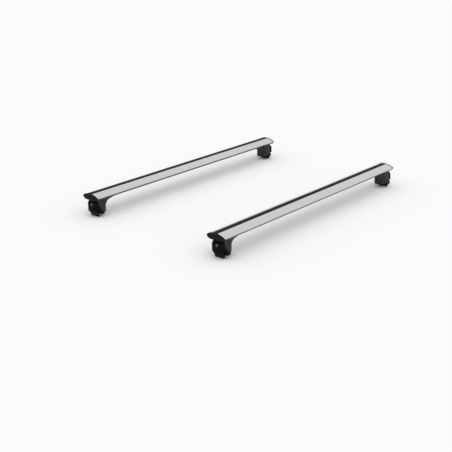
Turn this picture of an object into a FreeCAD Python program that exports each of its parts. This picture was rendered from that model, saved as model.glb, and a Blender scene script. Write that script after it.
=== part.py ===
import math
import os

import FreeCAD
import Part

V = FreeCAD.Vector

# Bar: hollow wing section, measured from its trailing edge and its flat underside
bar_length = 1140.0
bar_chord = 83.0
bar_height = 26.0
tail_height = 13.0
tail_radius = 1.6
tail_rake = 4.0
belly_start = 14.5
belly_end = 62.0
nose_height = 12.0
nose_radius = 8.0
crown_at = 48.0
skin = 2.0
web = 2.0
pair_spacing = 675.0

# Accessory slot on top, and the slot underneath that takes the feet
slot_mouth = 23.0
slot_width = 31.0
slot_lip_drop = 4.4
foot_slot_at = 37.0
foot_slot_mouth = 12.0
foot_slot_width = 24.0
foot_slot_lip = 2.5
deck_height = 11.0

# Rubber strips
strip_play = 0.15
strip_proud = 0.6
strip_ribs = 6
strip_rib_depth = 0.9
strip_barb = 1.4
strip_barb_depth = 1.6
under_strip_depth = 1.8

# End caps
cap_thickness = 8.0
cap_edge = 1.2
cap_plug_depth = 14.0
cap_plug_play = 0.2

# Foot tower: x runs inboard from the cut end of the bar, z up from the seat on the rail
foot_height = 57.0
pad_thickness = 5.0
foot_nose = 12.0
foot_bow = 63.0
bow_lead = 0.5
foot_bow_height = 8.0
tower_depth = 55.0
neck_half = 25.0
base_half = 36.5
flare_top = 46.0
plan_round = 38.0
back_half = 20.0
back_corner = 6.0
flange_start = 40.0
flange_root_half = 18.0
flange_end = 116.0
flange_tip = 4.0
flange_root = 74.0
flange_root_drop = 10.0
flange_end_half = 14.0
flange_corner = 9.0
flange_bend_start = 20.0

# Cover: wraps round the outboard end of the foot and pulls off it on two tongues
cover_wall = 2.8
cover_gap = 0.3
cover_room = 0.8
cover_low = 9.0
cover_belly = 49.0
cover_high = 54.0
parting_top = (10.3, 60.0)
parting_middle = (13.5, 30.0)
parting_bottom = (27.0, 3.0)
tongue_inner = 20.0
tongue_width = 2.6
tongue_low = 24.0
tongue_height = 5.0
tongue_end = 18.0
tongue_play = 0.3

# Pocket behind the cover
pocket_half = 18.0
pocket_back = 12.4
pocket_top = 49.0
cam_room_back = 18.0
cam_room_half = 14.0
cam_room_low = 26.2

# Claw
claw_face = 8.0
claw_steel = 3.5
claw_half = 26.0
claw_low_half = 20.0
strap_half = 16.5
strap_shoulder = 3.6
strap_top = 24.5
tab_reach = 14.0
tab_play = 0.4
hook_drop = 14.0
hook_reach = 9.0
hook_tip = 3.0
hook_corner = 9.0
claw_bend = 1.5
liner_wall = 1.5
liner_half = 19.0

# Clamp screw, washer and nut
screw_z = 13.0
screw_radius = 3.0
screw_play = 0.3
thread_play = 0.06
screw_reach = 42.0
head_radius = 5.0
head_height = 6.0
hex_across = 5.0
hex_depth = 3.5
washer_radius = 6.2
washer_thickness = 1.6
nut_side = 10.0
nut_thickness = 5.0
nut_at = 33.0
nut_play = 0.2

# Lock
lock_z = 38.5
sleeve_radius = 6.8
sleeve_play = 0.1
sleeve_length = 12.5
sleeve_flange = 8.2
sleeve_proud = 0.6
sleeve_seat = 1.6
barrel_radius = 5.5
barrel_play = 0.08
barrel_length = 15.0
barrel_inset = 0.4
key_width = 1.4
key_height = 5.5
key_depth = 5.0
cam_thickness = 2.0
cam_reach = 12.0
cam_half = 4.0
catch_from = 9.0
catch_depth = 3.0
catch_gap = 0.4

# Fastening of the foot to the bar
tee_plate_from = 68.0
tee_plate_length = 44.0
tee_plate_width = 22.0
tee_plate_thickness = 5.0
tee_screw_first = 79.0
tee_screw_pitch = 22.0
tee_screw_radius = 3.0
tee_screw_play = 0.25
tee_head_radius = 5.2
tee_head_height = 3.2
tee_seat = 3.2
tee_hex_across = 4.0
tee_hex_depth = 1.8
tee_screw_length = 9.5

# Rail pad
pad_outer = 14.5
pad_outer_half = 33.0
pad_wide_at = 27.0
pad_wide_half = 35.5
pad_back = 54.0
pad_back_half = 19.0
pad_corner = 4.0
lip_wall = 3.0
lip_slope = ((15.5, 29.0), (19.5, 18.0), (27.0, 9.0), (52.0, 5.0))
peg_side = 6.0
peg_height = 4.0
peg_play = 0.1
peg_spread = 16.0
peg_at = 45.0

# Heights of the parts above the lowest point of the claws
seat_z = hook_drop
belly_z = seat_z + foot_height
foot_y = foot_slot_at - bar_chord / 2

os.makedirs("parts", exist_ok=True)


def line(a, b):
    return Part.LineSegment(a, b).toShape()


def arc(a, b, c):
    return Part.Arc(a, b, c).toShape()


def plate(edges, reach):
    return Part.Face(Part.Wire(edges)).extrude(reach)


def polygon(points):
    closed = points + points[:1]
    return [line(a, b) for a, b in zip(closed, closed[1:])]


def box(x0, x1, y0, y1, z0, z1):
    return Part.makeBox(x1 - x0, y1 - y0, z1 - z0, V(x0, y0, z0))


def rod(radius, base, reach):
    return Part.makeCylinder(radius, reach.Length, base, reach)


def hexagon(across, base, reach, side):
    up = reach.cross(side).normalize()
    points = []
    for k in range(6):
        turn = math.radians(60 * k)
        step = side * math.cos(turn) + up * math.sin(turn)
        points.append(base + step * (across / math.sqrt(3)))
    return plate(polygon(points), reach)


def tangent_arc(start, heading, end):
    chord = end - start
    way = V(chord).normalize()
    lean = math.acos(heading.dot(way))
    normal = (heading - way * heading.dot(way)).normalize()
    sag = chord.Length / 2 * math.tan(lean / 2)
    return arc(start, (start + end) * 0.5 + normal * sag, end)


# Outer line of the wing section, in the plane across the bar
def at(y, z):
    return V(0, y - bar_chord / 2, z)


def wing_edges():
    nose_y = bar_chord - nose_radius
    nose = at(nose_y, nose_height)
    crown = at(crown_at, bar_height)
    tip = at(tail_radius, tail_height + tail_radius / 2)
    back = at(tail_rake, belly_start / 2)
    tail_low = at(tail_radius / 2, tail_height - tail_radius)
    belly = at(belly_start, 0)
    slope = tangent_arc(crown, V(0, -1, 0), tip)
    low = oval_centre(bar_chord - belly_end, nose_height)
    low_end = nose_joint(nose, at(belly_end, low))
    high = oval_centre(bar_chord - crown_at, bar_height - nose_height)
    high_end = nose_joint(nose, at(crown_at, bar_height - high))
    return [
        line(belly, at(belly_end, 0)),
        tangent_arc(at(belly_end, 0), V(0, 1, 0), low_end),
        arc(low_end, at(bar_chord, nose_height), high_end),
        tangent_arc(crown, V(0, 1, 0), high_end),
        slope,
        tangent_arc(tip, slope.tangentAt(slope.LastParameter), tail_low),
        line(tail_low, back),
        tangent_arc(belly, V(0, -1, 0), back),
    ]


# Radius of the long arc that meets the nose circle smoothly, for a given run and rise
def oval_centre(across, rise):
    return (across**2 + rise**2 - 2 * across * nose_radius) / (2 * (rise - nose_radius))


def nose_joint(nose, centre):
    return nose + (nose - centre).normalize() * nose_radius


wing_wire = Part.Wire(Part.__sortEdges__(wing_edges()))
along = V(bar_length, 0, 0)
bar_start = V(-bar_length / 2, 0, 0)
slot_y = crown_at - bar_chord / 2
slot_roof = bar_height - slot_lip_drop
slot_floor = deck_height + web


def run(solid_face):
    return solid_face.extrude(along).translated(bar_start)


def bar_box(y0, y1, z0, z1):
    half = bar_length / 2 + 1.0
    return box(-half, half, y0, y1, z0, z1)


def chamber_face():
    inner = Part.Face(wing_wire.makeOffset2D(-skin))
    top = bar_height + 1.0
    slot_case = box(-1, 1, slot_y - slot_width / 2 - web, slot_y + slot_width / 2 + web, deck_height, top)
    foot_half = foot_slot_width / 2 + web
    foot_case = box(-1, 1, foot_y - foot_half, foot_y + foot_half, -1.0, slot_floor)
    return inner.cut(slot_case.fuse(foot_case))


def make_bar():
    body = run(Part.Face(wing_wire))
    for face in chamber_face().Faces:
        body = body.cut(run(face))
    body = body.cut(bar_box(slot_y - slot_width / 2, slot_y + slot_width / 2, slot_floor, slot_roof))
    body = body.cut(bar_box(slot_y - slot_mouth / 2, slot_y + slot_mouth / 2, slot_roof, bar_height + 1))
    half = foot_slot_width / 2
    body = body.cut(bar_box(foot_y - half, foot_y + half, foot_slot_lip, deck_height))
    half = foot_slot_mouth / 2
    return body.cut(bar_box(foot_y - half, foot_y + half, -1.0, foot_slot_lip))


def make_top_strip():
    half = slot_mouth / 2 - strip_play
    low = slot_roof - strip_play
    top = bar_height + strip_proud
    edge = bar_height - strip_rib_depth
    points = [
        V(0, slot_y - half, edge),
        V(0, slot_y - half, low),
        V(0, slot_y - half - strip_barb, low),
        V(0, slot_y - half + strip_barb, low - strip_barb_depth),
        V(0, slot_y + half - strip_barb, low - strip_barb_depth),
        V(0, slot_y + half + strip_barb, low),
        V(0, slot_y + half, low),
        V(0, slot_y + half, edge),
    ]
    pitch = 2 * half / strip_ribs
    for k in range(strip_ribs):
        front = slot_y + half - k * pitch
        ease = strip_proud if k in (0, strip_ribs - 1) else 0.0
        points.append(V(0, front - 0.2 * pitch, top - ease))
        points.append(V(0, front - 0.8 * pitch, top - ease))
        if k < strip_ribs - 1:
            points.append(V(0, front - pitch, top - strip_rib_depth))
    return run(Part.Face(Part.Wire(polygon(points))))


def make_under_strip():
    half = foot_slot_mouth / 2 - strip_play
    low = foot_slot_lip + strip_play
    points = [
        V(0, foot_y - half, strip_play),
        V(0, foot_y + half, strip_play),
        V(0, foot_y + half, low),
        V(0, foot_y + half + strip_barb, low),
        V(0, foot_y + half - strip_barb, low + under_strip_depth),
        V(0, foot_y - half + strip_barb, low + under_strip_depth),
        V(0, foot_y - half - strip_barb, low),
        V(0, foot_y - half, low),
    ]
    start = flange_end + strip_play
    reach = V(bar_length - 2 * start, 0, 0)
    return plate(polygon(points), reach).translated(V(start - bar_length / 2, 0, 0))


def make_cap():
    face = Part.Face(wing_wire)
    shell = face.extrude(V(cap_edge - cap_thickness, 0, 0))
    rim = wing_wire.translated(V(cap_edge - cap_thickness, 0, 0))
    crest = wing_wire.makeOffset2D(-cap_edge).translated(V(-cap_thickness, 0, 0))
    cap = shell.fuse(Part.makeLoft([rim, crest], True, True))
    for chamber in chamber_face().Faces:
        plug = Part.Face(chamber.OuterWire.makeOffset2D(-cap_plug_play))
        cap = cap.fuse(plug.extrude(V(cap_plug_depth, 0, 0)))
    return cap.removeSplitter().translated(bar_start)


# Foot in its own frame: outlines from the side, the front and above, cut into one another
bow_x = foot_bow - foot_nose - bow_lead
side_at = plan_round - foot_nose


def bow_at(height, inset):
    drop = max(0.0, height - foot_bow_height)
    return V(bow_x - math.sqrt((foot_bow - inset) ** 2 - drop**2), 0, height)


def bow_block(inset):
    nose = bow_at(foot_bow_height, inset)
    middle = bow_at((foot_bow_height + foot_height) / 2, inset)
    brow = bow_at(foot_height, inset)
    toe = V(nose.x, 0, pad_thickness)
    heel = V(tower_depth - inset, 0, pad_thickness)
    crown = V(tower_depth - inset, 0, foot_height)
    edges = [line(toe, nose), arc(nose, middle, brow), line(brow, crown), line(crown, heel), line(heel, toe)]
    return plate(edges, V(0, 4 * base_half, 0)).translated(V(0, -2 * base_half, 0))


def flare_block(inset):
    lean = (base_half - neck_half) / (flare_top - pad_thickness)
    slant = math.hypot(1, lean)
    foot_half = base_half - inset * slant
    neck = neck_half - inset
    crease = flare_top - inset * (slant - 1) / lean
    profile = [(foot_half, pad_thickness), (neck, crease), (neck, foot_height)]
    corners = [V(0, y, z) for y, z in profile] + [V(0, -y, z) for y, z in reversed(profile)]
    edges = [line(corners[k - 1], corners[k]) for k in range(len(corners))]
    return plate(edges, V(2 * flange_end, 0, 0)).translated(V(-2 * foot_nose, 0, 0))


def rounded(points, radii):
    edges = []
    ends = []
    count = len(points)
    for k in range(count):
        here = points[k]
        before = (points[k - 1] - here).normalize()
        after = (points[(k + 1) % count] - here).normalize()
        half = math.acos(max(-1.0, min(1.0, before.dot(after)))) / 2
        radius = radii[k]
        if radius == 0:
            ends.append((here, here))
            continue
        reach = radius / math.tan(half)
        middle = (before + after).normalize()
        peak = here + middle * (radius / math.sin(half) - radius)
        ends.append((here + before * reach, here + after * reach))
        edges.append((k, arc(here + before * reach, peak, here + after * reach)))
    chain = []
    arcs = dict(edges)
    for k in range(count):
        if k in arcs:
            chain.append(arcs[k])
        chain.append(line(ends[k][1], ends[(k + 1) % count][0]))
    return chain


def plan_block(inset):
    half = plan_round - inset
    heel = V(tower_depth - inset, back_half - inset, 0)
    points = [V(side_at, -half, 0), V(heel.x, -heel.y, 0), heel, V(side_at, half, 0)]
    edges = rounded(points, [0, back_corner, back_corner, 0])[:-1]
    edges.append(arc(points[-1], V(side_at - half, 0, 0), points[0]))
    return plate(edges, V(0, 0, foot_height + 1))


def tower(inset):
    return bow_block(inset).common(flare_block(inset)).common(plan_block(inset))


def make_flange():
    root = V(flange_root, 0, foot_height - flange_root_drop)
    tip = V(flange_end, 0, foot_height - flange_tip)
    wall = V(tower_depth, 0, flange_bend_start)
    top = V(flange_start, 0, foot_height)
    low = V(flange_start, 0, flange_bend_start)
    edges = [
        line(top, V(flange_end, 0, foot_height)),
        line(V(flange_end, 0, foot_height), tip),
        line(tip, root),
        tangent_arc(wall, V(0, 0, 1), root),
        line(wall, low),
        line(low, top),
    ]
    side = plate(edges, V(0, 2 * base_half, 0)).translated(V(0, -base_half, 0))
    points = [
        V(flange_start, -flange_root_half, 0),
        V(tower_depth, -flange_root_half, 0),
        V(flange_end, -flange_end_half, 0),
    ]
    points += [V(p.x, -p.y, 0) for p in reversed(points)]
    plan = plate(rounded(points, [0, 0, flange_corner, flange_corner, 0, 0]), V(0, 0, foot_height + 1))
    return side.common(plan)


def belly(gap):
    return rod(cover_belly + gap, V(-2 * foot_nose, 0, cover_low + cover_belly), V(2 * flange_end, 0, 0))


def undercut():
    reach = 2 * base_half
    return box(-2 * foot_nose, pad_outer, -reach, reach, 0, cover_low + cover_belly / 2).cut(belly(0.0))


def cover_zone(gap):
    parting = [V(x, 0, z) for x, z in (parting_bottom, parting_middle, parting_top)]
    bend = arc(*parting).Curve
    bottom, middle, top = [bend.Center + (p - bend.Center) * (1 - gap / bend.Radius) for p in parting]
    edges = [
        arc(bottom, middle, top),
        line(top, V(-2 * foot_nose, 0, top.z)),
        line(V(-2 * foot_nose, 0, top.z), V(-2 * foot_nose, 0, bottom.z)),
        line(V(-2 * foot_nose, 0, bottom.z), bottom),
    ]
    zone = plate(edges, V(0, 4 * base_half, 0)).translated(V(0, -2 * base_half, 0))
    ceiling = box(-2 * foot_nose, flange_end, -2 * base_half, 2 * base_half, 0, cover_high + gap)
    return zone.common(belly(gap)).common(ceiling)


def pad_lip():
    low = V(-2 * foot_nose, 0, pad_thickness)
    slope = [V(x, 0, z) for x, z in lip_slope]
    points = [low, V(low.x, 0, slope[0].z)] + slope
    side = plate(polygon(points), V(0, 4 * base_half, 0)).translated(V(0, -2 * base_half, 0))
    reach = 2 * base_half
    end_x = pad_outer + lip_wall
    end_top = tongue_low - lip_wall
    end_wall = box(0, end_x, -reach, reach, 0, end_top)
    end_wall = end_wall.cut(box(0, end_x, -pocket_half, pocket_half, 0, end_top))
    core = tower(lip_wall).cut(end_wall)
    return form.common(side).cut(core).cut(cover_zone(cover_gap)).cut(undercut())


def tongue(side, play):
    y0 = tongue_inner if side > 0 else -tongue_inner - tongue_width
    y1 = y0 + tongue_width
    top = tongue_low + tongue_height
    return box(-2 * foot_nose, tongue_end + play, y0 - play, y1 + play, tongue_low - play, top + play)


form = tower(0.0)
lock_lean = math.asin((lock_z - foot_bow_height) / foot_bow)
lock_face = bow_at(lock_z, 0.0)
inward = V(math.cos(lock_lean), 0, -math.sin(lock_lean))
upward = V(math.sin(lock_lean), 0, math.cos(lock_lean))


def make_cover():
    cover = form.common(cover_zone(0.0)).cut(tower(cover_wall))
    inner = tower(cover_wall / 2)
    for side in (1, -1):
        cover = cover.fuse(tongue(side, 0.0).common(inner))
    bore = rod(sleeve_radius + sleeve_play, lock_face - inward * 10, inward * 30)
    seat = rod(sleeve_flange + sleeve_play, lock_face - inward * 10, inward * (10 + sleeve_seat))
    return cover.cut(bore).cut(seat).removeSplitter()


def make_body():
    body = form.fuse(make_flange())
    body = body.cut(cover_zone(cover_gap).cut(tower(cover_wall + cover_room)))
    body = body.cut(pad_lip()).cut(undercut())
    body = body.cut(box(-2 * foot_nose, pocket_back, -pocket_half, pocket_half, 0, pocket_top))
    body = body.cut(box(0, cam_room_back, -cam_room_half, cam_room_half, cam_room_low, pocket_top))
    body = body.fuse(catch_block())
    tab_low = strap_top - claw_steel - tab_play
    tab_end = claw_face + claw_steel + tab_reach + tab_play
    tab_half = strap_half + tab_play
    body = body.cut(box(0, tab_end, -tab_half, tab_half, tab_low, strap_top + tab_play))
    axis = V(0, 0, screw_z)
    body = body.cut(rod(screw_radius + screw_play, axis, V(claw_face + screw_reach + 2.0, 0, 0)))
    half = nut_side / 2 + nut_play
    nut_x = (nut_at - nut_play, nut_at + nut_thickness + nut_play)
    body = body.cut(box(nut_x[0], nut_x[1], -half, half, 0, screw_z + half))
    for k in range(2):
        base = V(tee_screw_first + k * tee_screw_pitch, 0, foot_height)
        body = body.cut(rod(tee_screw_radius + tee_screw_play, base, V(0, 0, -foot_height)))
        seat = base - V(0, 0, tee_seat)
        body = body.cut(rod(tee_head_radius + 2 * tee_screw_play, seat, V(0, 0, -foot_height)))
    for side in (1, -1):
        body = body.cut(peg(side, peg_play)).cut(tongue(side, tongue_play))
    return body.removeSplitter()


def catch_block():
    rear = barrel_length - catch_gap
    base = lock_face + inward * (rear - catch_depth)
    points = [
        base - upward * cam_half,
        base + inward * catch_depth - upward * cam_half,
        base + inward * catch_depth + upward * cam_half,
        base + upward * cam_half,
    ]
    reach = V(0, pocket_half + 1.0 - catch_from, 0)
    return plate(polygon(points), reach).translated(V(0, catch_from, 0))


def make_pad():
    points = [
        V(pad_outer, -pad_outer_half, 0),
        V(pad_wide_at, -pad_wide_half, 0),
        V(pad_back, -pad_back_half, 0),
    ]
    points += [V(p.x, -p.y, 0) for p in reversed(points)]
    pad = plate(rounded(points, [pad_corner] * len(points)), V(0, 0, pad_thickness)).fuse(pad_lip())
    for side in (1, -1):
        pad = pad.fuse(peg(side, 0.0))
    return pad.removeSplitter()


def peg(side, play):
    half = peg_side / 2 + play
    middle = side * peg_spread
    top = pad_thickness + peg_height + play
    return box(peg_at - half, peg_at + half, middle - half, middle + half, pad_thickness / 2, top)


def make_claw():
    inner = claw_face + claw_steel
    top = strap_top
    points = [
        V(claw_face, 0, -hook_drop),
        V(inner + hook_reach, 0, -hook_drop),
        V(inner + hook_reach, 0, -hook_drop + hook_tip),
        V(inner, 0, -hook_drop + hook_tip + hook_reach / 4),
        V(inner, 0, top - claw_steel),
        V(inner + tab_reach, 0, top - claw_steel),
        V(inner + tab_reach, 0, top),
        V(claw_face, 0, top),
    ]
    radii = [claw_bend + claw_steel, 1.0, 1.0, claw_bend, claw_bend, 0, 0, claw_bend + claw_steel]
    block = plate(rounded(points, radii), V(0, 2 * claw_half, 0)).translated(V(0, -claw_half, 0))
    outline = [
        V(0, -claw_low_half, -hook_drop),
        V(0, claw_low_half, -hook_drop),
        V(0, claw_half, strap_shoulder),
        V(0, strap_half, strap_shoulder),
        V(0, strap_half, top),
        V(0, -strap_half, top),
        V(0, -strap_half, strap_shoulder),
        V(0, -claw_half, strap_shoulder),
    ]
    corners = [hook_corner / 2, hook_corner / 2, 2.0, 1.0, 2.0, 2.0, 1.0, 2.0]
    face = plate(rounded(outline, corners), V(inner + tab_reach + hook_reach + 1, 0, 0))
    hole = rod(screw_radius + screw_play, V(0, 0, screw_z), V(inner + 1.0, 0, 0))
    return block.common(face).cut(hole).removeSplitter()


def make_liner():
    inner = claw_face + claw_steel
    low = -hook_drop + hook_tip + hook_reach / 4
    rise = liner_wall * math.hypot(1, 0.25)
    points = [
        V(inner, 0, -0.5),
        V(inner + liner_wall, 0, -0.5),
        V(inner + liner_wall, 0, low + rise - liner_wall / 4 + 0.4),
        V(inner + hook_reach - 1.5, 0, low + rise - (hook_reach - 1.5) / 4),
        V(inner + hook_reach - 1.5, 0, low - (hook_reach - 1.5) / 4),
        V(inner + 2 * claw_bend, 0, low - claw_bend / 2),
        V(inner, 0, low + 2 * claw_bend),
    ]
    return plate(polygon(points), V(0, 2 * liner_half, 0)).translated(V(0, -liner_half, 0))


def make_washer():
    start = V(claw_face, 0, screw_z)
    ring = rod(washer_radius, start, V(-washer_thickness, 0, 0))
    return ring.cut(rod(screw_radius + screw_play, start, V(-washer_thickness, 0, 0)))


def make_screw():
    neck = V(claw_face - washer_thickness, 0, screw_z)
    head = rod(head_radius, neck, V(-head_height, 0, 0))
    rim = [edge for edge in head.Edges if edge.Vertexes[0].X < neck.x - head_height / 2 and edge.Closed]
    head = head.makeChamfer(0.5, rim[:1])
    screw = head.fuse(rod(screw_radius, neck, V(screw_reach, 0, 0)))
    mouth = neck - V(head_height, 0, 0)
    return screw.cut(hexagon(hex_across, mouth, V(hex_depth, 0, 0), V(0, 1, 0))).removeSplitter()


def make_nut():
    half = nut_side / 2
    block = box(nut_at, nut_at + nut_thickness, -half, half, screw_z - half, screw_z + half)
    bore = rod(screw_radius + thread_play, V(nut_at - 1, 0, screw_z), V(nut_thickness + 2, 0, 0))
    return block.cut(bore)


def make_sleeve():
    outer = rod(sleeve_radius, lock_face - inward * sleeve_proud, inward * sleeve_length)
    flange = rod(sleeve_flange, lock_face - inward * sleeve_proud, inward * (sleeve_proud + sleeve_seat))
    bore = rod(barrel_radius + barrel_play, lock_face - inward * 5, inward * 40)
    return outer.fuse(flange).cut(bore).removeSplitter()


def make_barrel():
    front = lock_face - inward * (sleeve_proud - barrel_inset)
    length = barrel_length + sleeve_proud - barrel_inset
    barrel = rod(barrel_radius, front, inward * length)
    corner = front - V(0, key_width / 2, 0) - upward * (key_height / 2)
    wide = V(0, key_width, 0)
    tall = upward * key_height
    slot = plate(polygon([corner, corner + wide, corner + wide + tall, corner + tall]), inward * key_depth)
    return barrel.cut(slot)


def make_cam():
    base = lock_face + inward * barrel_length
    wide = V(0, cam_half, 0)
    tip = base + upward * (cam_reach - cam_half)
    edges = [
        arc(base - wide, base - upward * cam_half, base + wide),
        line(base + wide, tip + wide),
        arc(tip + wide, tip + upward * cam_half, tip - wide),
        line(tip - wide, base - wide),
    ]
    return plate(edges, inward * cam_thickness)


def make_tee_plate():
    half = tee_plate_width / 2
    low = foot_height + foot_slot_lip
    end = tee_plate_from + tee_plate_length
    block = box(tee_plate_from, end, -half, half, low, low + tee_plate_thickness)
    for k in range(2):
        base = V(tee_screw_first + k * tee_screw_pitch, 0, low)
        block = block.cut(rod(tee_screw_radius + thread_play, base, V(0, 0, tee_plate_thickness)))
    return block


def make_tee_screws():
    screws = []
    for k in range(2):
        seat = V(tee_screw_first + k * tee_screw_pitch, 0, foot_height - tee_seat)
        screw = rod(tee_head_radius, seat, V(0, 0, -tee_head_height))
        screw = screw.fuse(rod(tee_screw_radius, seat, V(0, 0, tee_screw_length)))
        mouth = seat - V(0, 0, tee_head_height)
        screws.append(screw.cut(hexagon(tee_hex_across, mouth, V(0, 0, tee_hex_depth), V(1, 0, 0))))
    return screws


foot_pieces = {
    "foot_body": make_body(),
    "rail_pad": make_pad(),
    "tee_plate": make_tee_plate(),
    "claw": make_claw(),
    "claw_liner": make_liner(),
    "clamp_screw": make_screw(),
    "clamp_washer": make_washer(),
    "cover": make_cover(),
    "lock_sleeve": make_sleeve(),
    "lock_cylinder": make_barrel(),
    "lock_cam": make_cam(),
}
foot_groups = {
    "tee_screws": make_tee_screws(),
    "clamp_nuts": [make_nut()],
}
bar_pieces = {
    "bar": make_bar(),
    "top_strip": make_top_strip(),
    "under_strip": make_under_strip(),
    "end_cap_left": make_cap(),
}
bar_pieces["end_cap_right"] = bar_pieces["end_cap_left"].mirror(V(0, 0, 0), V(1, 0, 0))


def set_foot(shape, side, bar_y):
    placed = shape.translated(V(-bar_length / 2, foot_y, seat_z))
    if side == "right":
        placed = placed.mirror(V(0, 0, 0), V(1, 0, 0))
    return placed.translated(V(0, bar_y, 0))


def single(shape):
    return shape.Solids[0] if len(shape.Solids) == 1 else shape


for row, bar_y in (("front", pair_spacing / 2), ("rear", -pair_spacing / 2)):
    for name, shape in bar_pieces.items():
        single(shape).translated(V(0, bar_y, belly_z)).exportStep(f"parts/{row}_{name}.step")
    for side in ("left", "right"):
        for name, shape in foot_pieces.items():
            set_foot(single(shape), side, bar_y).exportStep(f"parts/{row}_{side}_{name}.step")
    for name, shapes in foot_groups.items():
        group = [set_foot(single(one), side, bar_y) for side in ("left", "right") for one in shapes]
        Part.makeCompound(group).exportStep(f"parts/{row}_{name}.step")
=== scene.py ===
import math

import bpy
from mathutils import Matrix, Vector


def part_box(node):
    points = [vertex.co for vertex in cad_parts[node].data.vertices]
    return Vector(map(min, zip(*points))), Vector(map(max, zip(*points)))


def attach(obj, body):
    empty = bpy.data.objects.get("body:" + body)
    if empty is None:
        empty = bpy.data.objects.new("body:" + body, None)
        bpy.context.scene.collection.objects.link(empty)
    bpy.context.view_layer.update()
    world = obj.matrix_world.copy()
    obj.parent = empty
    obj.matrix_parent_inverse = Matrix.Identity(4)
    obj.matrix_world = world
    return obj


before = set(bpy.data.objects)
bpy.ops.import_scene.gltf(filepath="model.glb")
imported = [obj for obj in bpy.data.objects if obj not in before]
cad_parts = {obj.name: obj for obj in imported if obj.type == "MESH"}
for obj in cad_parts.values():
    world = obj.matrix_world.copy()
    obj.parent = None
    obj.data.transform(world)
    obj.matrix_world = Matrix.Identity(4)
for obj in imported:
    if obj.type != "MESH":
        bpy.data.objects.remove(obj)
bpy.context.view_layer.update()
mm = 0.001
rows = ("front", "rear")
sides = ("left", "right")
feet = [row + "_" + side for row in rows for side in sides]
print("crossbars: frame loaded with", len(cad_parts), "pieces")


def linearColour(hexText):
    parts = [int(hexText[k:k + 2], 16) / 255 for k in (1, 3, 5)]
    return tuple(p / 12.92 if p <= 0.04045 else ((p + 0.055) / 1.055) ** 2.4 for p in parts) + (1.0,)


def addNode(tree, kind, settings=None, links=None):
    node = tree.nodes.new(kind)
    for name, value in (settings or {}).items():
        if isinstance(name, str) and hasattr(node, name):
            setattr(node, name, value)
        else:
            node.inputs[name].default_value = value
    for name, source in (links or {}).items():
        tree.links.new(source, node.inputs[name])
    return node


# Places of the Mix node's sockets, which share their names
mixIn = {"factor": 0, "valueA": 2, "valueB": 3, "colourA": 6, "colourB": 7}
mixOut = {"value": 0, "colour": 2}


def startFinish(name, metallic, ior=None):
    material = bpy.data.materials.new(name)
    material.use_nodes = True
    tree = material.node_tree
    shader = tree.nodes["Principled BSDF"]
    shader.inputs["Metallic"].default_value = metallic
    if ior:
        shader.inputs["IOR"].default_value = ior
    place = addNode(tree, "ShaderNodeTexCoord").outputs["Object"]
    return material, tree, shader, place


# Fine pattern over broad patches: the eye reads the grain close by and handling marks from afar
patches = {
    "width": 22.0,
    "detail": 2.0,
    "low": 0.36,                       # noise rarely leaves this band, so it is stretched to 0 to 1
    "high": 0.64,
    "edgeSamples": 4,
}


def layFinish(tree, shader, place, pattern, finish):
    broad = addNode(tree, "ShaderNodeTexNoise", {
        "Scale": 1 / (patches["width"] * mm), "Detail": patches["detail"],
    }, {"Vector": place})
    both = addNode(tree, "ShaderNodeMix", {"data_type": "FLOAT", mixIn["factor"]: finish["patchy"]}, {
        mixIn["valueA"]: pattern, mixIn["valueB"]: broad.outputs["Fac"],
    })
    worn = addNode(tree, "ShaderNodeMapRange", {
        "From Min": patches["low"], "From Max": patches["high"],
    }, {"Value": both.outputs[mixOut["value"]]}).outputs["Result"]
    tone = addNode(tree, "ShaderNodeMix", {
        "data_type": "RGBA",
        mixIn["colourA"]: linearColour(finish["tones"][0]),
        mixIn["colourB"]: linearColour(finish["tones"][1]),
    }, {mixIn["factor"]: worn})
    tree.links.new(tone.outputs[mixOut["colour"]], shader.inputs["Base Color"])
    gloss = addNode(tree, "ShaderNodeMapRange", {
        "To Min": finish["roughness"][0],
        "To Max": finish["roughness"][1],
    }, {"Value": worn})
    tree.links.new(gloss.outputs["Result"], shader.inputs["Roughness"])
    edge = addNode(tree, "ShaderNodeBevel", {
        "samples": patches["edgeSamples"], "Radius": finish["edge"] * mm,
    })
    relief = addNode(tree, "ShaderNodeBump", {
        "Strength": finish["strength"],
        "Distance": finish["depth"] * mm,
    }, {"Height": pattern, "Normal": edge.outputs["Normal"]})
    tree.links.new(relief.outputs["Normal"], shader.inputs["Normal"])


# Extruded aluminium, satin anodised: die lines along the bar draw the highlights out lengthwise,
# and faces that look down get painted shade, a dark grey tone, so the rear edge ends in a dark line
barFinish = {
    "tones": ("#C2C3C6", "#CFD0D2"),
    "roughness": (0.25, 0.38),
    "patchy": 0.08,                    # share of the broad patches, small on a clean extrusion
    "edge": 0.3,                       # radius that the eye reads on a sharp edge
    "lineWidth": 0.9,                  # drawn coarser than real die lines so that it shows
    "lineLength": 260.0,
    "detail": 3.0,
    "detailFall": 0.6,
    "strength": 0.25,
    "depth": 0.02,
    "paintedShade": "#5C5D60",                 # painted shade on faces that look down
    "paintedShadeFrom": -0.1,                  # upward part of the face's normal, where the painted shade starts
    "paintedShadeFull": -0.5,
}


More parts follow.
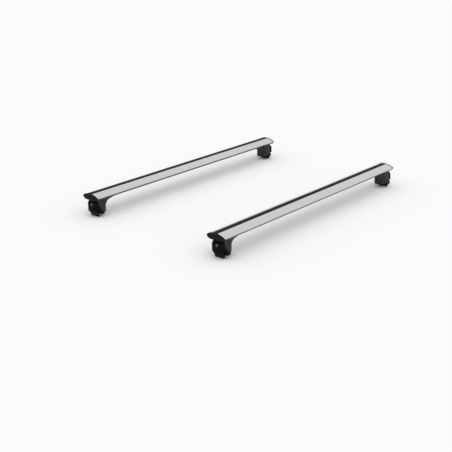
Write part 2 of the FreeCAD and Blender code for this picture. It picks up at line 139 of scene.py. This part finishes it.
def makeAnodisedAluminium():
    material, tree, shader, place = startFinish("extruded_aluminium_satin_anodised", 1.0)
    fine = 1 / (barFinish["lineWidth"] * mm)
    drawn = addNode(tree, "ShaderNodeMapping", {
        "Scale": (1 / (barFinish["lineLength"] * mm), fine, fine),
    }, {"Vector": place})
    lines = addNode(tree, "ShaderNodeTexNoise", {
        "Scale": 1.0, "Detail": barFinish["detail"], "Roughness": barFinish["detailFall"],
    }, {"Vector": drawn.outputs["Vector"]})
    layFinish(tree, shader, place, lines.outputs["Fac"], barFinish)
    # painted shade: faces that look down are mixed toward a dark grey tone in place of shadow and dark
    # reflection
    facing = addNode(tree, "ShaderNodeTexCoord").outputs["Normal"]
    upward = addNode(tree, "ShaderNodeSeparateXYZ", None, {"Vector": facing}).outputs["Z"]
    paintedShade = addNode(tree, "ShaderNodeMapRange", {
        "From Min": barFinish["paintedShadeFrom"], "From Max": barFinish["paintedShadeFull"],
    }, {"Value": upward})
    clean = shader.inputs["Base Color"].links[0].from_socket
    shadedTone = addNode(tree, "ShaderNodeMix", {
        "data_type": "RGBA", mixIn["colourB"]: linearColour(barFinish["paintedShade"]),
    }, {mixIn["factor"]: paintedShade.outputs["Result"], mixIn["colourA"]: clean})
    tree.links.new(shadedTone.outputs[mixOut["colour"]], shader.inputs["Base Color"])
    return material


# Extruded EPDM rubber: matt black with a faint bloom that runs along the strip
stripFinish = {
    "tones": ("#121314", "#1C1D1E"),
    "ior": 1.22,                       # a dusty bloom takes most of the shine off
    "patchy": 0.4,
    "roughness": (0.55, 0.72),
    "edge": 0.3,
    "bloomWidth": 4.0,
    "bloomLength": 60.0,
    "detail": 4.0,
    "detailFall": 0.55,
    "strength": 0.2,
    "depth": 0.05,
}


def makeStripRubber():
    material, tree, shader, place = startFinish("extruded_rubber_strip", 0.0, stripFinish["ior"])
    wide = 1 / (stripFinish["bloomWidth"] * mm)
    drawn = addNode(tree, "ShaderNodeMapping", {
        "Scale": (1 / (stripFinish["bloomLength"] * mm), wide, wide),
    }, {"Vector": place})
    bloom = addNode(tree, "ShaderNodeTexNoise", {
        "Scale": 1.0, "Detail": stripFinish["detail"], "Roughness": stripFinish["detailFall"],
    }, {"Vector": drawn.outputs["Vector"]})
    layFinish(tree, shader, place, bloom.outputs["Fac"], stripFinish)
    return material


# Injection moulded plastics: spark eroded tools leave a fine even grain that dulls the shine
mouldedFinishes = {
    "moulded_polypropylene_cap_grained": {
        "tones": ("#0A0B0C", "#131415"),
        "ior": 1.2,                    # the grain breaks up the shine of the plain plastic
        "patchy": 0.4,
        "roughness": (0.42, 0.58),
        "edge": 0.6,
        "grain": 0.8,
        "strength": 0.35,
        "depth": 0.05,
    },
    "moulded_glass_filled_nylon_foot": {
        "tones": ("#27282A", "#323335"),
        "ior": 1.25,
        "patchy": 0.4,
        "roughness": (0.46, 0.62),
        "edge": 0.6,
        "grain": 1.1,
        "strength": 0.3,
        "depth": 0.06,
    },
    "moulded_abs_cover_satin": {
        "tones": ("#040405", "#080809"),
        "ior": 1.16,
        "patchy": 0.3,
        "roughness": (0.30, 0.40),
        "edge": 0.6,
        "grain": 0.7,
        "strength": 0.2,
        "depth": 0.03,
    },
    "moulded_rubber_pad": {
        "tones": ("#0A0A0B", "#121213"),
        "ior": 1.2,
        "patchy": 0.4,
        "roughness": (0.68, 0.85),
        "edge": 0.8,
        "grain": 1.6,
        "strength": 0.3,
        "depth": 0.08,
    },
}


grainNoise = {"detail": 2.0, "detailFall": 0.5}


def makeMoulded(name):
    finish = mouldedFinishes[name]
    material, tree, shader, place = startFinish(name, 0.0, finish["ior"])
    grain = addNode(tree, "ShaderNodeTexNoise", {
        "Scale": 1 / (finish["grain"] * mm),
        "Detail": grainNoise["detail"],
        "Roughness": grainNoise["detailFall"],
    }, {"Vector": place})
    layFinish(tree, shader, place, grain.outputs["Fac"], finish)
    return material


# Powder coated steel: the coat flows before it sets, so it keeps a low orange peel
coatFinish = {
    "tones": ("#0A0A0B", "#121213"),
    "ior": 1.22,
    "patchy": 0.4,
    "roughness": (0.38, 0.50),
    "edge": 0.4,
    "peel": 1.4,
    "strength": 0.3,
    "depth": 0.06,
}


def makePowderCoat():
    material, tree, shader, place = startFinish("steel_powder_coated_black", 0.0, coatFinish["ior"])
    peel = addNode(tree, "ShaderNodeTexVoronoi", {
        "feature": "SMOOTH_F1",
        "Scale": 1 / (coatFinish["peel"] * mm),
    }, {"Vector": place})
    layFinish(tree, shader, place, peel.outputs["Distance"], coatFinish)
    return material


# Zinc plated and turned metal: bright grey with a slightly cloudy shine
platedFinishes = {
    "steel_zinc_plated": {
        "tones": ("#A9ACB0", "#BEC0C3"),
        "roughness": (0.28, 0.42),
        "edge": 0.2,
        "patchy": 0.3,
        "cloud": 2.5,
        "strength": 0.1,
        "depth": 0.02,
    },
    "zinc_casting_satin_chromed": {
        "tones": ("#4E4F52", "#606164"),
        "roughness": (0.24, 0.32),
        "edge": 0.2,
        "patchy": 0.3,
        "cloud": 1.5,
        "strength": 0.1,
        "depth": 0.01,
    },
}


cloudDetail = 3.0


def makePlated(name):
    finish = platedFinishes[name]
    material, tree, shader, place = startFinish(name, 1.0)
    cloud = addNode(tree, "ShaderNodeTexNoise", {
        "Scale": 1 / (finish["cloud"] * mm), "Detail": cloudDetail,
    }, {"Vector": place})
    layFinish(tree, shader, place, cloud.outputs["Fac"], finish)
    return material


aluminium = makeAnodisedAluminium()
stripRubber = makeStripRubber()
capPlastic = makeMoulded("moulded_polypropylene_cap_grained")
footNylon = makeMoulded("moulded_glass_filled_nylon_foot")
coverPlastic = makeMoulded("moulded_abs_cover_satin")
padRubber = makeMoulded("moulded_rubber_pad")
clawCoat = makePowderCoat()
zincPlate = makePlated("steel_zinc_plated")
lockChrome = makePlated("zinc_casting_satin_chromed")
print("crossbars: finishes made", len(bpy.data.materials))


# Every piece takes its finish by the end of its name
finishByPiece = {
    "_bar": aluminium,
    "_top_strip": stripRubber,
    "_under_strip": stripRubber,
    "_end_cap_left": capPlastic,
    "_end_cap_right": capPlastic,
    "_foot_body": footNylon,
    "_cover": coverPlastic,
    "_rail_pad": padRubber,
    "_claw_liner": padRubber,
    "_claw": clawCoat,
    "_clamp_screw": zincPlate,
    "_clamp_washer": zincPlate,
    "_clamp_nuts": zincPlate,
    "_tee_screws": zincPlate,
    "_tee_plate": zincPlate,
    "_lock_sleeve": clawCoat,
    "_lock_cylinder": lockChrome,
    "_lock_cam": zincPlate,
}


shading = {
    "merge": 0.002,                    # mm, joins the loose triangles
    "crease": 28.0,                    # degrees, sharper edges stay sharp
}


def buildShadeTree():
    tree = bpy.data.node_groups.new("mergedShade", "GeometryNodeTree")
    tree.interface.new_socket("Geometry", in_out="OUTPUT", socket_type="NodeSocketGeometry")
    for name, kind in (("Geometry", "NodeSocketGeometry"), ("Merge", "NodeSocketFloat"),
                       ("Crease", "NodeSocketFloat")):
        tree.interface.new_socket(name, in_out="INPUT", socket_type=kind)
    given = addNode(tree, "NodeGroupInput").outputs
    joined = addNode(tree, "GeometryNodeMergeByDistance", None, {
        "Geometry": given["Geometry"], "Distance": given["Merge"],
    })
    bend = addNode(tree, "GeometryNodeInputMeshEdgeAngle").outputs["Unsigned Angle"]
    gentle = addNode(tree, "FunctionNodeCompare", {"data_type": "FLOAT", "operation": "LESS_THAN"}, {
        "A": bend, "B": given["Crease"],
    })
    faces = addNode(tree, "GeometryNodeSetShadeSmooth", {"domain": "FACE", "Shade Smooth": True}, {
        "Geometry": joined.outputs["Geometry"],
    })
    edges = addNode(tree, "GeometryNodeSetShadeSmooth", {"domain": "EDGE"}, {
        "Geometry": faces.outputs["Geometry"], "Shade Smooth": gentle.outputs["Result"],
    })
    addNode(tree, "NodeGroupOutput", None, {"Geometry": edges.outputs["Geometry"]})
    return tree


def setInputs(modifier, tree, inputs):
    modifier.node_group = tree
    for item in tree.interface.items_tree:
        if item.in_out == "INPUT" and item.name in inputs:
            modifier[item.identifier] = inputs[item.name]


def dressNodes():
    tree = buildShadeTree()
    for name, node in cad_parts.items():
        ending = next(e for e in sorted(finishByPiece, key=len, reverse=True) if name.endswith(e))
        node.data.materials.clear()
        node.data.materials.append(finishByPiece[ending])
        setInputs(node.modifiers.new("shade", "NODES"), tree, {
            "Merge": shading["merge"] * mm, "Crease": math.radians(shading["crease"]),
        })
        weighted = node.modifiers.new("weighted", "WEIGHTED_NORMAL")
        weighted.keep_sharp = True


dressNodes()
print("crossbars: pieces dressed")


# Thread turns of the clamp screws, laid as a ridge along a helix
threadSizes = {
    "pitch": 1.0,
    "ridge": 0.32,
    "start": 3.0,                      # first turn, measured from the washer's seat
    "endGap": 1.0,                     # bare tip of the shank
    "length": 38.0,
    "radius": 3.0,
    "perTurn": 20,
    "ridgeSides": 4,
}


def buildThreadTree():
    tree = bpy.data.node_groups.new("threadTurns", "GeometryNodeTree")
    tree.interface.new_socket("Geometry", in_out="OUTPUT", socket_type="NodeSocketGeometry")
    for name, kind in (("Turns", "NodeSocketFloat"), ("Length", "NodeSocketFloat"),
                       ("Radius", "NodeSocketFloat"), ("Ridge", "NodeSocketFloat"),
                       ("Per Turn", "NodeSocketInt"), ("Ridge Sides", "NodeSocketInt"),
                       ("Finish", "NodeSocketMaterial")):
        tree.interface.new_socket(name, in_out="INPUT", socket_type=kind)
    given = addNode(tree, "NodeGroupInput").outputs
    helix = addNode(tree, "GeometryNodeCurveSpiral", None, {
        "Resolution": given["Per Turn"], "Rotations": given["Turns"], "Start Radius": given["Radius"],
        "End Radius": given["Radius"], "Height": given["Length"],
    })
    ridge = addNode(tree, "GeometryNodeCurvePrimitiveCircle", None, {
        "Resolution": given["Ridge Sides"], "Radius": given["Ridge"],
    })
    swept = addNode(tree, "GeometryNodeCurveToMesh", {"Fill Caps": True}, {
        "Curve": helix.outputs["Curve"], "Profile Curve": ridge.outputs["Curve"],
    })
    whole = addNode(tree, "GeometryNodeRealizeInstances", None, {"Geometry": swept.outputs["Mesh"]})
    coated = addNode(tree, "GeometryNodeSetMaterial", None, {
        "Geometry": whole.outputs["Geometry"], "Material": given["Finish"],
    })
    addNode(tree, "NodeGroupOutput", None, {"Geometry": coated.outputs["Geometry"]})
    return tree


def plainMesh(name, tree, inputs, place):
    carrier = bpy.data.objects.new(name, bpy.data.meshes.new(name + "_seed"))
    bpy.context.scene.collection.objects.link(carrier)
    modifier = carrier.modifiers.new("nodes", "NODES")
    setInputs(modifier, tree, inputs)
    evaluated = carrier.evaluated_get(bpy.context.evaluated_depsgraph_get())
    mesh = bpy.data.meshes.new_from_object(evaluated)
    mesh.name = name
    carrier.modifiers.remove(modifier)
    carrier.data = mesh
    mesh.transform(place)
    return carrier


def makeThreads():
    tree = buildThreadTree()
    for foot in feet:
        low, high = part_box(foot + "_clamp_screw")
        outward = -1 if low.x + high.x < 0 else 1
        washerLow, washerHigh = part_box(foot + "_clamp_washer")
        seat = washerLow.x if outward > 0 else washerHigh.x
        shank = min(threadSizes["length"] * mm, abs(seat - (low.x if outward > 0 else high.x)))
        bare = threadSizes["start"] + threadSizes["endGap"]
        run = shank - bare * mm
        middle = (low + high) / 2
        start = Vector((seat - outward * threadSizes["start"] * mm, middle.y, middle.z))
        along = Matrix.Rotation(-outward * math.pi / 2, 4, "Y")
        thread = plainMesh(foot + "_thread", tree, {
            "Turns": run / (threadSizes["pitch"] * mm),
            "Length": run,
            "Radius": (threadSizes["radius"] - threadSizes["ridge"] / 2) * mm,
            "Ridge": threadSizes["ridge"] * mm,
            "Per Turn": threadSizes["perTurn"],
            "Ridge Sides": threadSizes["ridgeSides"],
            "Finish": zincPlate,
        }, Matrix.Translation(start) @ along)
        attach(thread, foot + "_screw")


makeThreads()
print("crossbars: threads laid")


# Knurl round the heads of the clamp screws, straight ridges rolled into the steel
knurlSizes = {
    "ridges": 40,
    "headRadius": 5.0,
    "proud": 0.1,
    "depth": 0.3,
    "width": 0.4,
    "length": 4.2,
    "fromEnd": 3.2,                    # middle of the knurl, measured from the end of the head
}


def buildKnurlTree():
    tree = bpy.data.node_groups.new("knurlRidges", "GeometryNodeTree")
    tree.interface.new_socket("Geometry", in_out="OUTPUT", socket_type="NodeSocketGeometry")
    for name, kind in (("Ridges", "NodeSocketInt"), ("Radius", "NodeSocketFloat"),
                       ("Ridge Size", "NodeSocketVector"), ("Finish", "NodeSocketMaterial")):
        tree.interface.new_socket(name, in_out="INPUT", socket_type=kind)
    given = addNode(tree, "NodeGroupInput").outputs
    ring = addNode(tree, "GeometryNodeMeshCircle", None, {
        "Vertices": given["Ridges"], "Radius": given["Radius"],
    })
    ridge = addNode(tree, "GeometryNodeMeshCube", None, {"Size": given["Ridge Size"]})
    where = addNode(tree, "GeometryNodeInputPosition").outputs["Position"]
    outwards = addNode(tree, "FunctionNodeAlignRotationToVector", {"axis": "X", "pivot_axis": "Z"}, {
        "Vector": where,
    })
    row = addNode(tree, "GeometryNodeInstanceOnPoints", None, {
        "Points": ring.outputs["Mesh"],
        "Instance": ridge.outputs["Mesh"],
        "Rotation": outwards.outputs["Rotation"],
    })
    whole = addNode(tree, "GeometryNodeRealizeInstances", None, {"Geometry": row.outputs["Instances"]})
    coated = addNode(tree, "GeometryNodeSetMaterial", None, {
        "Geometry": whole.outputs["Geometry"], "Material": given["Finish"],
    })
    addNode(tree, "NodeGroupOutput", None, {"Geometry": coated.outputs["Geometry"]})
    return tree


def makeKnurls():
    tree = buildKnurlTree()
    inner = knurlSizes["depth"] / 2 - knurlSizes["proud"]
    for foot in feet:
        low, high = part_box(foot + "_clamp_screw")
        middle = (low + high) / 2
        outward = -1 if middle.x < 0 else 1
        end = low.x if outward < 0 else high.x
        place = Vector((end - outward * knurlSizes["fromEnd"] * mm, middle.y, middle.z))
        knurl = plainMesh(foot + "_knurl", tree, {
            "Ridges": knurlSizes["ridges"],
            "Radius": (knurlSizes["headRadius"] - inner) * mm,
            "Ridge Size": [knurlSizes[side] * mm for side in ("depth", "width", "length")],
            "Finish": zincPlate,
        }, Matrix.Translation(place) @ Matrix.Rotation(math.pi / 2, 4, "Y"))
        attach(knurl, foot + "_screw")


makeKnurls()
print("crossbars: screw heads knurled")


# Studio: pale floor, even sky and one broad soft sun
studio = {
    "floorTone": "#FFFFFF",
    "floorHalf": 40.0,
    "floorRoughness": 0.9,
    "skyTone": "#FFFFFF",
    "skyStrength": 0.85,
    "seenStrength": 1.0,               # what the camera and shiny surfaces see, plain white
    "sunStrength": 0.45,
    "sunSpread": 80.0,
    "sunFrom": (-0.45, -0.55, 1.0),
}


def buildStudio():
    half = studio["floorHalf"]
    mesh = bpy.data.meshes.new("floor")
    corners = [(-half, -half, 0), (half, -half, 0), (half, half, 0), (-half, half, 0)]
    mesh.from_pydata(corners, [], [range(len(corners))])
    floor = bpy.data.objects.new("floor", mesh)
    bpy.context.scene.collection.objects.link(floor)
    paper = bpy.data.materials.new("studio_paper")
    paper.use_nodes = True
    shader = paper.node_tree.nodes["Principled BSDF"]
    shader.inputs["Base Color"].default_value = linearColour(studio["floorTone"])
    shader.inputs["Roughness"].default_value = studio["floorRoughness"]
    shader.inputs["Specular IOR Level"].default_value = 0.0
    mesh.materials.append(paper)

    world = bpy.data.worlds.new("sky")
    world.use_nodes = True
    tree = world.node_tree
    sky = tree.nodes["Background"]
    sky.inputs["Color"].default_value = linearColour(studio["skyTone"])
    rays = addNode(tree, "ShaderNodeLightPath").outputs
    seen = addNode(tree, "ShaderNodeMath", {"operation": "ADD"}, {
        0: rays["Is Camera Ray"], 1: rays["Is Glossy Ray"],
    })
    seen = addNode(tree, "ShaderNodeMath", {"operation": "ADD", "use_clamp": True}, {
        0: seen.outputs["Value"], 1: rays["Is Transmission Ray"],
    })
    level = addNode(tree, "ShaderNodeMapRange", {
        "To Min": studio["skyStrength"], "To Max": studio["seenStrength"],
    }, {"Value": seen.outputs["Value"]})
    tree.links.new(level.outputs["Result"], sky.inputs["Strength"])
    bpy.context.scene.world = world

    lamp = bpy.data.lights.new("sun", "SUN")
    lamp.energy = studio["sunStrength"]
    lamp.angle = math.radians(studio["sunSpread"])
    sun = bpy.data.objects.new("sun", lamp)
    sun.rotation_euler = Vector(studio["sunFrom"]).to_track_quat("Z", "Y").to_euler()
    bpy.context.scene.collection.objects.link(sun)


# Camera at the photograph's viewing angle
cameraSetup = {
    "place": (-2.8375, -2.3390, 1.2663),
    "azimuth": 40.797,                 # degrees from +X towards +Y
    "dip": 20.682,
    "lens": 72.066,
    "sensor": 36.0,
    "farClip": 200.0,
}


def buildCamera():
    turn = math.radians(cameraSetup["azimuth"])
    dip = math.radians(cameraSetup["dip"])
    forward = Vector((math.cos(dip) * math.cos(turn), math.cos(dip) * math.sin(turn), -math.sin(dip)))
    lens = bpy.data.cameras.new("camera")
    lens.lens = cameraSetup["lens"]
    lens.sensor_width = cameraSetup["sensor"]
    lens.clip_end = cameraSetup["farClip"]
    camera = bpy.data.objects.new("camera", lens)
    camera.location = cameraSetup["place"]
    camera.rotation_euler = forward.to_track_quat("-Z", "Y").to_euler()
    bpy.context.scene.collection.objects.link(camera)
    bpy.context.scene.camera = camera


buildStudio()
buildCamera()
bpy.context.scene.view_settings.view_transform = "Standard"
print("crossbars: studio and camera set")
